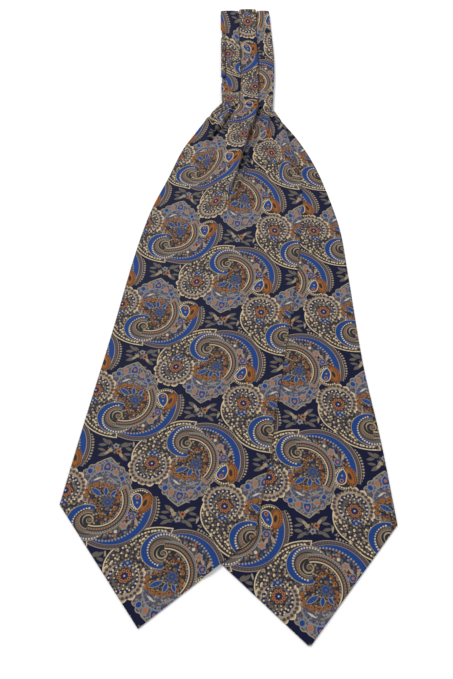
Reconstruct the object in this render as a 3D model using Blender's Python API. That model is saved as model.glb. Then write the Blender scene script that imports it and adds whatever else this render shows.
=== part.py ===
"""A silk cravat, folded at the middle of its pleated neckband and laid flat.

Metres, +Z up. The fold is at +Y and the two pointed blades fan out towards -Y. The upper half
of the cravat lies on the under half, and both rest on the surface at z = 0.
"""

import math

import bmesh
import bpy

MM = 0.001

# Cloth thicknesses in mm. Each blade is a face and a back of silk, so it is one double wall.
GAP = 0.3
BLADE_WALL = 1.5
NECK_LAYERS = 1.0
NECK_LAYERS_FROM = 370.0
UNDER_NECK_HEIGHT = 2.8
UNDER_NECK_FROM = 395.0

# Each blade: its tip, the lean of its middle line from +Y towards +X, and where its neck lies.
UPPER_TIP = (-57.6, -299.1)
UPPER_LEAN = 9.5
UPPER_NECK = 473.0
UNDER_TIP = (52.4, -310.2)
UNDER_LEAN = -4.0
UNDER_NECK = 476.0

# Columns: mm from the tip along the middle line, reach to the left, reach to the right.
# The first row is at the corners, where the long edges turn into the point.
UPPER_OUTLINE = (
    (71.0, 72.0, 66.0),
    (136.0, 71.0, 67.6),
    (211.5, 69.2, 67.8),
    (289.0, 68.4, 68.0),
    (337.5, 65.2, 65.8),
    (375.0, 58.2, 62.4),
    (411.5, 51.8, 53.9),
    (436.5, 43.1, 43.5),
    (459.5, 33.3, 32.7),
    (473.0, 26.2, 22.7),
)
UNDER_OUTLINE = (
    (74.0, 69.8, 69.8),
    (136.5, 69.0, 69.0),
    (199.0, 66.2, 66.2),
    (289.0, 67.2, 67.2),
    (329.0, 66.8, 67.2),
    (368.5, 61.0, 62.1),
    (403.5, 52.0, 54.8),
    (434.5, 41.5, 43.8),
    (462.0, 28.5, 29.9),
    (476.0, 22.0, 24.2),
)

# The neckband from its fold down to the neck. Columns: y, left edge, left pleat edge,
# right pleat edge, right edge.
BAND = (
    (310.2, -6.8, 12.3, 30.4, 43.4),
    (274.6, -6.4, 12.4, 29.6, 44.8),
    (247.6, -6.1, 13.1, 30.2, 46.1),
    (218.0, -6.0, 13.6, 30.9, 46.1),
    (195.2, -5.8, 12.9, 30.5, 44.9),
    (159.6, -4.6, 10.9, 29.0, 42.5),
)
BAND_MIDDLE_Y = 200.0
FOLD_Y = 310.2
SIDE_FOLD_Y = 308.8
NOSE_LENGTH = 6.0
NOSE_WALL = 5.2
NOSE_EDGE = 0.9
UNDER_BAND_SHORT = 0.7
UNDER_BAND_INSET = 1.0

# A narrow tuck shows along the left edge. Columns: y, its right edge.
TUCK = (
    (266.0, -2.2),
    (235.4, -1.7),
    (208.6, -1.3),
)
TUCK_POCKET = 5.5
TUCK_END = 6.0
TUCK_HEIGHT = 4.7
SIDE_HEIGHT = 5.6
MIDDLE_HEIGHT = 6.5
STRIP_CROWN = 0.25

# Creases of the upper blade below the neck. Columns: y, x of the crest, its rise.
LEFT_PLEAT = (
    (170.6, 11.3, 0.8),
    (160.7, 7.9, 0.9),
    (147.9, 1.9, 0.8),
    (137.1, -3.4, 0.6),
    (129.3, -9.2, 0.3),
    (119.8, -14.8, 0.0),
)
MAIN_PLEAT = (
    (166.5, 29.2, 1.1),
    (145.6, 24.5, 1.7),
    (130.6, 19.6, 1.9),
    (113.0, 15.7, 1.8),
    (94.5, 11.0, 1.4),
    (76.0, 5.8, 0.9),
    (56.5, 0.2, 0.4),
    (27.6, -6.0, 0.0),
)
SIDE_CREASE = (
    (163.2, -15.4, 0.0),
    (155.3, -14.0, 0.8),
    (141.6, -11.1, 0.8),
    (131.8, -8.9, 0.3),
    (121.9, -7.0, 0.0),
)
RIGHT_CREASE = (
    (163.0, 40.0, 0.2),
    (150.2, 38.9, 0.7),
    (136.4, 37.6, 0.6),
    (117.8, 35.6, 0.0),
)
CREASES = (
    # Table, side of the crest that stays high (1 is right, -1 is left), how far it runs out.
    (LEFT_PLEAT, 1, 9.0),
    (MAIN_PLEAT, -1, 13.0),
    (SIDE_CREASE, 1, 7.0),
    (RIGHT_CREASE, -1, 6.0),
)
CREASE_DROP = 1.6

# Rounded edges. Columns: inset from the outline, share of the piece's height there.
BLADE_RIM = ((0.9, 1.0), (0.25, 0.86), (0.0, 0.5), (0.45, 0.0))
STRIP_RIM = ((0.8, 1.0), (0.2, 0.84), (0.0, 0.5), (0.4, 0.0))
LAYER_RIM = (
    (0.8, 1.0),
    (0.1, 0.86),
    (0.0, 0.72),
    (0.55, 0.6),
    (0.0, 0.48),
    (0.0, 0.36),
    (0.55, 0.24),
    (0.05, 0.12),
    (0.45, 0.0),
)

# A blade's rows of faces stand closer together near the neck, where the creases are, and a
# pleat has these rows in its turn at the fold, as shares of it.
ROW_CROWDING = 1.35
TURN_ROWS = (0.7, 0.42, 0.2, 0.0)

# The upper blade bridges the under blade's hidden edge: how far it stays up, then comes down.
BRIDGE_FLAT = 7.0
BRIDGE_SLOPE = 11.0

SILK = (0.085, 0.085, 0.125, 1.0)
SILK_LIGHT = (0.115, 0.11, 0.14, 1.0)
SILK_ROUGHNESS = 0.48


def ease(value):
    """0 to 1, with soft ends."""
    t = min(1.0, max(0.0, value))
    return t * t * (3.0 - 2.0 * t)


def read_table(table, where, column):
    """A column of a table at a place in its first column, along a smooth curve."""
    rows = sorted(table)
    if where <= rows[0][0]:
        return rows[0][column]
    if where >= rows[-1][0]:
        return rows[-1][column]
    n = next(i for i in range(len(rows) - 1) if where <= rows[i + 1][0])
    before = rows[max(n - 1, 0)]
    start, end = rows[n], rows[n + 1]
    after = rows[min(n + 2, len(rows) - 1)]
    span = end[0] - start[0]
    t = (where - start[0]) / span
    slope_in = (end[column] - before[column]) / (end[0] - before[0]) * span
    slope_out = (after[column] - start[column]) / (after[0] - start[0]) * span
    return (
        (2 * t**3 - 3 * t**2 + 1) * start[column]
        + (t**3 - 2 * t**2 + t) * slope_in
        + (3 * t**2 - 2 * t**3) * end[column]
        + (t**3 - t**2) * slope_out
    )


def to_table(tip, lean, right, along):
    """A point of a blade, given along and to the right of its middle line, as x and y."""
    a = math.radians(lean)
    x = tip[0] + right * math.cos(a) + along * math.sin(a)
    y = tip[1] - right * math.sin(a) + along * math.cos(a)
    return x, y


def to_blade(tip, lean, x, y):
    """The opposite of to_table."""
    a = math.radians(lean)
    dx, dy = x - tip[0], y - tip[1]
    return dx * math.cos(a) - dy * math.sin(a), dx * math.sin(a) + dy * math.cos(a)


def blade_point(tip, lean, neck, outline, u, v, inset):
    """A blade's grid: u from -1 (left) to 1 (right), v from 0 (neck) to 1 (point)."""
    corner = outline[0][0]
    edge = (neck - inset) * (1 - v) + (corner + 0.41 * inset) * v
    middle = (neck - inset) * (1 - v) + 1.41 * inset * v
    along = edge + (middle - edge) * (1 - abs(u))
    reach = read_table(outline, edge, 1 if u < 0 else 2) - inset
    return to_table(tip, lean, u * reach, along)


def outside_under(x, y):
    """How far a place is outside the under blade's left edge or its point, in mm."""
    right, along = to_blade(UNDER_TIP, UNDER_LEAN, x, y)
    corner, reach = UNDER_OUTLINE[0][0], UNDER_OUTLINE[0][1]
    beside = -right - read_table(UNDER_OUTLINE, along, 1)
    half = math.atan2(reach, corner)
    below = (abs(right) * math.cos(half)) - along * math.sin(half)
    return max(beside, below)


def under_top(x, y):
    """The under blade's upper face, away from its rounded edges."""
    along = to_blade(UNDER_TIP, UNDER_LEAN, x, y)[1]
    rise = UNDER_NECK_HEIGHT - BLADE_WALL
    return BLADE_WALL + rise * ease((along - UNDER_NECK_FROM) / (UNDER_NECK - UNDER_NECK_FROM))


def upper_bottom(x, y):
    """The upper blade's underside: over the under blade, then down to the surface."""
    down = ease((outside_under(x, y) - BRIDGE_FLAT) / BRIDGE_SLOPE)
    return (under_top(x, y) + GAP) * (1 - down)


def crease_relief(x, y):
    """The height that the creases add at a place."""
    total = 0.0
    for table, high_side, run_out in CREASES:
        rise = read_table(table, y, 2)
        distance = high_side * (x - read_table(table, y, 1))
        if distance >= 0:
            total += rise * math.exp(-distance / run_out)
        else:
            total += rise * math.exp(-((distance / CREASE_DROP) ** 2))
    return total


def upper_top(x, y):
    along = to_blade(UPPER_TIP, UPPER_LEAN, x, y)[1]
    gathered = ease((along - NECK_LAYERS_FROM) / (UPPER_NECK - NECK_LAYERS_FROM))
    return upper_bottom(x, y) + BLADE_WALL + NECK_LAYERS * gathered + crease_relief(x, y)


def strip_bottom(x, y):
    """The upper band runs on the under band, then turns down round its end at the fold."""
    return UNDER_NECK_HEIGHT + GAP if y < FOLD_Y - NOSE_WALL else 0.0


def strip_top(height, left, right, end):
    """The upper face of one strip of the band, crowned across and rounded at its end."""

    def top(x, y):
        across = (x - left(y)) / (right(y) - left(y))
        crown = STRIP_CROWN * (1 - (2 * across - 1) ** 2)
        into_nose = max(0.0, (y - end + NOSE_LENGTH) / NOSE_LENGTH)
        low = strip_bottom(x, end) + NOSE_EDGE
        return low + (height + crown - low) * math.sqrt(max(0.0, 1 - into_nose**2.6))

    return top


def slab(name, point, top, bottom, rows, columns, rim, colour):
    """One closed piece over a grid, with a rounded edge all round it.

    point(u, v, inset) gives x and y, rows and columns are the grid's v and u values.
    """
    mesh = bmesh.new()

    def corner(u, v, inset, share):
        x, y = point(u, v, inset)
        low, high = bottom(x, y), top(x, y)
        return mesh.verts.new((x * MM, y * MM, (low + (high - low) * share) * MM))

    last_row, last_column = len(rows) - 1, len(columns) - 1
    border = [(0, c) for c in range(last_column)]
    border += [(r, last_column) for r in range(last_row)]
    border += [(last_row, c) for c in range(last_column, 0, -1)]
    border += [(r, 0) for r in range(last_row, 0, -1)]

    faces = []
    for inset, share in (rim[0], rim[-1]):
        faces.append([[corner(u, v, inset, share) for u in columns] for v in rows])
    rings = [[faces[0][r][c] for r, c in border]]
    for inset, share in rim[1:-1]:
        rings.append([corner(columns[c], rows[r], inset, share) for r, c in border])
    rings.append([faces[1][r][c] for r, c in border])

    for r in range(last_row):
        for c in range(last_column):
            for grid in faces:
                near, far = grid[r], grid[r + 1]
                mesh.faces.new((near[c], near[c + 1], far[c + 1], far[c]))
    for upper, lower in zip(rings, rings[1:]):
        for i in range(len(border)):
            j = (i + 1) % len(border)
            mesh.faces.new((upper[i], upper[j], lower[j], lower[i]))

    bmesh.ops.recalc_face_normals(mesh, faces=mesh.faces)
    bmesh.ops.triangulate(mesh, faces=mesh.faces)
    data = bpy.data.meshes.new(name)
    mesh.to_mesh(data)
    mesh.free()
    data.shade_smooth()
    data.set_sharp_from_angle(angle=math.radians(40))
    piece = bpy.data.objects.new(name, data)
    piece.data.materials.append(silk(name, colour))
    bpy.context.scene.collection.objects.link(piece)
    return piece


def silk(name, colour):
    """Woven silk with a soft sheen."""
    material = bpy.data.materials.new(name + "_silk")
    material.use_nodes = True
    surface = material.node_tree.nodes["Principled BSDF"]
    surface.inputs["Base Color"].default_value = colour
    surface.inputs["Roughness"].default_value = SILK_ROUGHNESS
    surface.inputs["Metallic"].default_value = 0.0
    return material


def even(count, start, end):
    return [start + (end - start) * i / count for i in range(count + 1)]


def blade(name, tip, lean, neck, outline, top, bottom, rows, columns, colour):
    """A double wall of silk from the neck down to its point."""

    def point(u, v, inset):
        return blade_point(tip, lean, neck, outline, u, v, inset)

    places = [v**ROW_CROWDING for v in even(rows, 0.0, 1.0)]
    return slab(name, point, top, bottom, places, even(columns, -1.0, 1.0), BLADE_RIM, colour)


def neck_line(tip, lean, outline):
    """The y of the line where a half of the band meets its blade, as a function of x."""
    along, left, right = outline[-1]
    start = to_table(tip, lean, -left, along)
    end = to_table(tip, lean, right, along)
    return lambda x: start[1] + (end[1] - start[1]) * (x - start[0]) / (end[0] - start[0]) + GAP


def strip(name, left, right, height, start, end, columns, colour):
    """One pleat of the upper band. left and right give its edges, start and end its length.

    A pleat that reaches the fold turns down there to the surface.
    """

    def point(u, v, inset):
        y_mid = start(0.5 * (left(BAND_MIDDLE_Y) + right(BAND_MIDDLE_Y)))
        y = y_mid + (end - y_mid) * v
        x = left(y) + inset + (right(y) - left(y) - 2 * inset) * (u + 1) / 2
        y = start(x) + inset + (end - start(x) - 2 * inset) * v
        return x, y

    length = end - start(left(BAND_MIDDLE_Y))
    rows = even(10, 0.0, 1.0)
    if end > FOLD_Y - NOSE_WALL:
        wall = 1 - (end - FOLD_Y + NOSE_WALL) / length
        rows = even(24, 0.0, wall - 0.004) + [wall + 0.002]
        rows += [1 - share * (1 - wall) for share in TURN_ROWS]
    top = strip_top(height, left, right, end)
    return slab(name, point, top, strip_bottom, rows, even(columns, -1.0, 1.0), STRIP_RIM, colour)


def band_edge(column, shift=0.0):
    return lambda y: read_table(BAND, y, column) + shift


def tuck_edge(y):
    return read_table(TUCK, y, 1) - GAP / 2


def left_strip_edge(y):
    """The band's left edge, drawn in beside the tuck."""
    low, high = TUCK[-1][0] - TUCK_POCKET, TUCK[0][0] + TUCK_POCKET
    beside = ease((y - low) / TUCK_END + 1) * ease((high - y) / TUCK_END + 1)
    outer = read_table(BAND, y, 1)
    return outer + (read_table(TUCK, y, 1) + GAP / 2 - outer) * beside


def under_band():
    """The hidden half of the neckband, whose folded layers are one rounded solid."""

    start = neck_line(UNDER_TIP, UNDER_LEAN, UNDER_OUTLINE)
    end = FOLD_Y - NOSE_WALL - UNDER_BAND_SHORT

    def point(u, v, inset):
        y = start(0.0) + (end - start(0.0)) * v
        left = read_table(BAND, y, 1) + UNDER_BAND_INSET
        right = read_table(BAND, y, 4) - UNDER_BAND_INSET
        x = left + inset + (right - left - 2 * inset) * (u + 1) / 2
        return x, start(x) + inset + (end - start(x) - 2 * inset) * v

    def top(x, y):
        return UNDER_NECK_HEIGHT

    def bottom(x, y):
        return 0.0

    return slab(
        "band_under", point, top, bottom, even(14, 0, 1), even(4, -1, 1), LAYER_RIM, SILK
    )


def flat(x, y):
    return 0.0


for old in list(bpy.data.objects):
    bpy.data.objects.remove(old)

blade(
    "blade_under", UNDER_TIP, UNDER_LEAN, UNDER_NECK, UNDER_OUTLINE, under_top, flat,
    34, 10, SILK,
)
blade(
    "blade_upper", UPPER_TIP, UPPER_LEAN, UPPER_NECK, UPPER_OUTLINE, upper_top, upper_bottom,
    54, 26, SILK_LIGHT,
)
under_band()


strip_start = neck_line(UPPER_TIP, UPPER_LEAN, UPPER_OUTLINE)


def tuck_start(x):
    return TUCK[-1][0]


strip(
    "band_pleat_left", left_strip_edge, band_edge(2, -GAP / 2), SIDE_HEIGHT,
    strip_start, SIDE_FOLD_Y, 6, SILK,
)
strip(
    "band_pleat_middle", band_edge(2, GAP / 2), band_edge(3, -GAP / 2), MIDDLE_HEIGHT,
    strip_start, FOLD_Y, 6, SILK_LIGHT,
)
strip(
    "band_pleat_right", band_edge(3, GAP / 2), band_edge(4), SIDE_HEIGHT,
    strip_start, SIDE_FOLD_Y, 6, SILK,
)
strip(
    "band_tuck", band_edge(1), tuck_edge, TUCK_HEIGHT,
    tuck_start, TUCK[0][0], 3, SILK_LIGHT,
)
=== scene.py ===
"""A silk cravat, folded at the middle of its neckband and laid flat, seen from above.

The printed silk of each piece is built over its solid, in the order the cravat lies: the under
blade and its half of the band, the upper blade, and the pleats of the band.
"""

import math

import bpy
import mathutils
import numpy as np
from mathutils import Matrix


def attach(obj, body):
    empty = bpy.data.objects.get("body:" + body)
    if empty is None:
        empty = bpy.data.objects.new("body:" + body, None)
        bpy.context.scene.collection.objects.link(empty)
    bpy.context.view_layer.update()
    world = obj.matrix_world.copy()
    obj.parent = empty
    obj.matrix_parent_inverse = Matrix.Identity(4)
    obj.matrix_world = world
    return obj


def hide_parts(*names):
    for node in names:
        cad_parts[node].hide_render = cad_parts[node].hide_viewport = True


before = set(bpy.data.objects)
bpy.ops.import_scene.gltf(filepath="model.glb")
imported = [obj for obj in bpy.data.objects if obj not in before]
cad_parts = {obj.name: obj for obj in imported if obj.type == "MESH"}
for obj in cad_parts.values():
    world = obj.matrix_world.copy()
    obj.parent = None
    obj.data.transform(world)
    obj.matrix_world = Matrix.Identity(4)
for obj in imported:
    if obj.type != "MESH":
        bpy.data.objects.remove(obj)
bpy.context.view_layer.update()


# The silk. A light twill with a navy ground, screen printed with rows of large paisleys, every
# second row upside down. One paisley is charted in mm from the eye of its medallion, and the
# shader repeats it over the flat cloth, so that it follows the cloth round every fold.

# Mm across and up the flat cloth. The second row of paisleys is the first one upside down, and a
# little slanted. The sharpness is the ink gained in each mm inside an outline, and the two ends
# are the mm of depth for each radian inside a shape's reach.
REPEAT = (112.3, 81.0)
MIRROR_ROW = (57.1, 54.5)
MIRROR_SLANT = -0.085
CHART_MIDDLE = (25.5, -1.2)
PRINT_SHARPNESS = 3.2
SECTOR_END, LINE_END = 16.0, 24.0

DYES = {
    "navy": "0f1430",
    "night": "1b1b2c",
    "royal": "1a3b76",
    "indigo": "1b2552",
    "steel": "4e4c57",
    "mist": "7b7778",
    "cream": "c3b08c",
    "sand": "92846c",
    "taupe": "5b554e",
    "plum": "4a3d45",
    "umber": "2b282d",
    "rust": "8c5524",
    "ochre": "7c5424",
    "coral": "98603f",
    "chalk": "b0ada6",
}

# The paisley's outline as discs, by which each place on the cloth knows its nearest paisley.
# Columns: x, y, radius.
PAISLEY_REACH = (
    (-1.0, -3.5, 16.0),
    (0.0, 10.0, 16.5),
    (8.0, 20.0, 15.5),
    (20.0, 30.0, 12.5),
    (46.0, 4.0, 21.5),
    (40.0, 13.0, 24.5),
    (30.0, 18.0, 19.5),
    (26.0, -12.0, 19.5),
    (26.5, -38.0, 12.0),
    (26.5, 43.0, 12.0),
)


def linear(code):
    """An sRGB hex colour as the linear values that a shader takes."""
    parts = [int(code[i : i + 2], 16) / 255 for i in (0, 2, 4)]
    return [c / 12.92 if c <= 0.04045 else ((c + 0.055) / 1.055) ** 2.4 for c in parts] + [1.0]


def add(tree, kind, *values, **settings):
    """Adds a shader node with its settings, and links or sets its inputs in order."""
    made = tree.nodes.new("ShaderNode" + kind)
    for name, value in settings.items():
        setattr(made, name, value)
    for socket, value in zip(made.inputs, values):
        if isinstance(value, bpy.types.NodeSocket):
            tree.links.new(value, socket)
        elif value is not None:
            socket.default_value = value
    return made.outputs


def stamp(name, draw, sizes):
    """A node group that gives 1 inside one printed shape and 0 outside it.

    draw gets x and y in mm from the shape's middle, and the shape's sizes.
    """
    tree = bpy.data.node_groups.new(name, "ShaderNodeTree")
    for label in ("Place", "Middle", "Right", "Up"):
        tree.interface.new_socket(label, in_out="INPUT", socket_type="NodeSocketVector")
    for label in sizes:
        tree.interface.new_socket(label, in_out="INPUT", socket_type="NodeSocketFloat")
    tree.interface.new_socket("Inside", in_out="OUTPUT", socket_type="NodeSocketFloat")
    given = tree.nodes.new("NodeGroupInput").outputs
    local = add(tree, "VectorMath", given[0], given[1], operation="SUBTRACT")[0]
    x = add(tree, "VectorMath", local, given[2], operation="DOT_PRODUCT")[1]
    y = add(tree, "VectorMath", local, given[3], operation="DOT_PRODUCT")[1]
    depth = draw(tree, x, y, given[4:])
    inside = add(tree, "Math", depth, PRINT_SHARPNESS, 0.5, operation="MULTIPLY_ADD", use_clamp=True)[0]
    tree.links.new(inside, tree.nodes.new("NodeGroupOutput").inputs[0])
    return tree


def from_middle(tree, x, y):
    """How far a place is from the shape's middle."""
    spot = add(tree, "CombineXYZ", x, y)[0]
    return add(tree, "VectorMath", spot, operation="LENGTH")[1]


def to_reach(tree, angle, reach, slope):
    """How far an angle is inside a reach to both sides, as a depth in mm."""
    wide = add(tree, "Math", angle, operation="ABSOLUTE")[0]
    room = add(tree, "Math", reach, wide, operation="SUBTRACT")[0]
    return add(tree, "Math", room, slope, operation="MULTIPLY")[0]


def draw_disc(tree, x, y, sizes):
    return add(tree, "Math", sizes[0], from_middle(tree, x, y), operation="SUBTRACT")[0]


def draw_scallop(tree, x, y, sizes):
    """A disc whose rim is a row of round lobes."""
    angle = add(tree, "Math", y, x, operation="ARCTAN2")[0]
    turn = add(tree, "Math", angle, sizes[1], operation="MULTIPLY")[0]
    wave = add(tree, "Math", turn, operation="SINE")[0]
    lobe = add(tree, "Math", wave, operation="ABSOLUTE")[0]
    rim = add(tree, "Math", lobe, sizes[2], sizes[0], operation="MULTIPLY_ADD")[0]
    return add(tree, "Math", rim, from_middle(tree, x, y), operation="SUBTRACT")[0]


def draw_leaf(tree, x, y, sizes):
    """A pointed lens along x."""
    bow = add(tree, "Math", x, x, operation="MULTIPLY")[0]
    side = add(tree, "Math", y, operation="ABSOLUTE")[0]
    both = add(tree, "Math", bow, sizes[1], side, operation="MULTIPLY_ADD")[0]
    return add(tree, "Math", sizes[0], both, operation="SUBTRACT")[0]


def draw_sector(tree, x, y, sizes):
    """The part of a disc within an angle of its own +x."""
    rim = draw_disc(tree, x, y, sizes)
    angle = add(tree, "Math", y, x, operation="ARCTAN2")[0]
    ends = to_reach(tree, angle, sizes[1], SECTOR_END)
    return add(tree, "Math", rim, ends, operation="MINIMUM")[0]


def draw_arc(tree, x, y, sizes):
    """A line on a circle, within an angle of its own +x."""
    out = add(tree, "Math", from_middle(tree, x, y), sizes[0], operation="SUBTRACT")[0]
    off = add(tree, "Math", out, operation="ABSOLUTE")[0]
    line = add(tree, "Math", sizes[1], off, operation="SUBTRACT")[0]
    angle = add(tree, "Math", y, x, operation="ARCTAN2")[0]
    ends = to_reach(tree, angle, sizes[2], LINE_END)
    return add(tree, "Math", line, ends, operation="MINIMUM")[0]


def draw_beads(tree, x, y, sizes):
    """A row of beads on a circle, within an angle of its own +x."""
    angle = add(tree, "Math", y, x, operation="ARCTAN2")[0]
    turns = add(tree, "Math", angle, sizes[1], 0.5, operation="MULTIPLY_ADD")[0]
    share = add(tree, "Math", turns, operation="FRACT")[0]
    beside = add(tree, "Math", share, -0.5, operation="ADD")[0]
    short = add(tree, "Math", beside, sizes[2], operation="MULTIPLY")[0]
    out = add(tree, "Math", from_middle(tree, x, y), sizes[0], operation="SUBTRACT")[0]
    bead = add(tree, "Math", sizes[3], from_middle(tree, short, out), operation="SUBTRACT")[0]
    ends = to_reach(tree, angle, sizes[4], LINE_END)
    return add(tree, "Math", bead, ends, operation="MINIMUM")[0]


def draw_curl(tree, x, y, sizes):
    """A spiral line inside a circle."""
    distance = from_middle(tree, x, y)
    share = add(tree, "Math", distance, sizes[0], operation="DIVIDE")[0]
    steep = add(tree, "Math", share, math.e, operation="LOGARITHM")[0]
    angle = add(tree, "Math", y, x, operation="ARCTAN2")[0]
    turns = add(tree, "Math", angle, 1 / math.tau, operation="MULTIPLY")[0]
    phase = add(tree, "Math", steep, sizes[1], turns, operation="MULTIPLY_ADD")[0]
    part = add(tree, "Math", phase, operation="FRACT")[0]
    middle = add(tree, "Math", part, -0.5, operation="ADD")[0]
    off = add(tree, "Math", middle, operation="ABSOLUTE")[0]
    line = add(tree, "Math", sizes[2], off, operation="SUBTRACT")[0]
    thick = add(tree, "Math", line, distance, operation="MULTIPLY")[0]
    rim = add(tree, "Math", sizes[0], distance, operation="SUBTRACT")[0]
    return add(tree, "Math", rim, thick, operation="MINIMUM")[0]


STAMPS = {
    "disc": stamp("printed disc", draw_disc, ("Radius",)),
    "scallop": stamp("printed scallop", draw_scallop, ("Radius", "Half lobes", "Lobe")),
    "leaf": stamp("printed leaf", draw_leaf, ("Half width", "Bow")),
    "sector": stamp("printed sector", draw_sector, ("Radius", "Reach")),
    "arc": stamp("printed arc", draw_arc, ("Radius", "Half line", "Reach")),
    "beads": stamp("printed beads", draw_beads, ("Radius", "Each turn", "Pitch", "Bead", "Reach")),
    "curl": stamp("printed curl", draw_curl, ("Radius", "Tightness", "Line")),
}

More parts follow.
